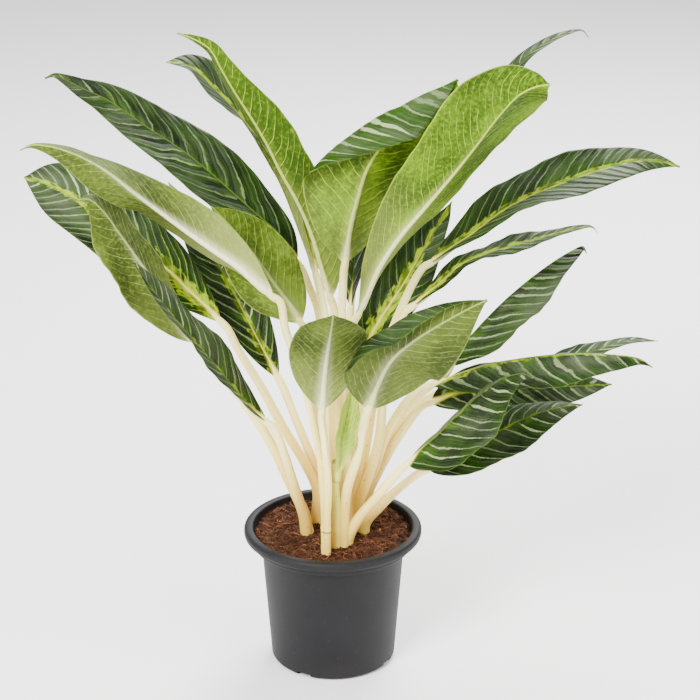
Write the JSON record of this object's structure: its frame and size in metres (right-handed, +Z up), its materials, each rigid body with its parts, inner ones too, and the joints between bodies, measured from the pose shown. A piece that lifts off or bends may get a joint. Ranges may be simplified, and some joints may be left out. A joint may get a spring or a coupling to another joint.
{
  "type": "potted chinese evergreen",
  "caption": "Bushy Chinese evergreen with long cream stalks and silver-striped leaves, in a tapered dark plastic nursery pot filled with coir.",
  "frame": {"origin": "centre of the pot's flat base, on the surface that the pot stands on", "axes": "+Z is up along the pot's axis, -Y is the front of the plant, +X is to the right seen from the front"},
  "size_m": [0.6067, 0.2792, 0.6231],
  "materials": {
    "pot": "matte dark grey moulded plastic",
    "coir": "loose reddish-brown coconut coir",
    "stalk": "smooth cream-white living stalk with a soft sheen",
    "leaf": "dark green waxy upper face with silver-green stripes, pale grey-green underneath",
    "young_leaf": "bright yellow-green rolled young leaf"
  },
  "bodies": {
    "root": {"pot": "pot", "soil": "coir", "shoot_left": "stalk", "leaf_left_low_front": "leaf", "leaf_left_low": "leaf", "shoot_left_back": "stalk", "leaf_left_middle": "leaf", "leaf_left_lower_back": "leaf", "leaf_left_high": "leaf", "shoot_front": "stalk", "leaf_left_long": "leaf", "leaf_left_inner": "leaf", "leaf_front": "leaf", "shoot_centre": "stalk", "leaf_young": "young_leaf", "leaf_front_right": "leaf", "leaf_top_right": "leaf", "leaf_crown_arched": "leaf", "leaf_top_left": "leaf", "leaf_right_base_front": "leaf", "shoot_back": "stalk", "leaf_top_left_back": "leaf", "leaf_crown_back": "leaf", "leaf_top_right_back": "leaf", "leaf_right_upright": "leaf", "leaf_right_long": "leaf", "leaf_right_narrow": "leaf", "shoot_right_back": "stalk", "leaf_right_middle": "leaf", "leaf_right_low": "leaf", "leaf_right_low_under": "leaf", "leaf_right_low_back": "leaf", "shoot_right": "stalk", "leaf_right_base": "leaf"}
  },
  "joints": []
}
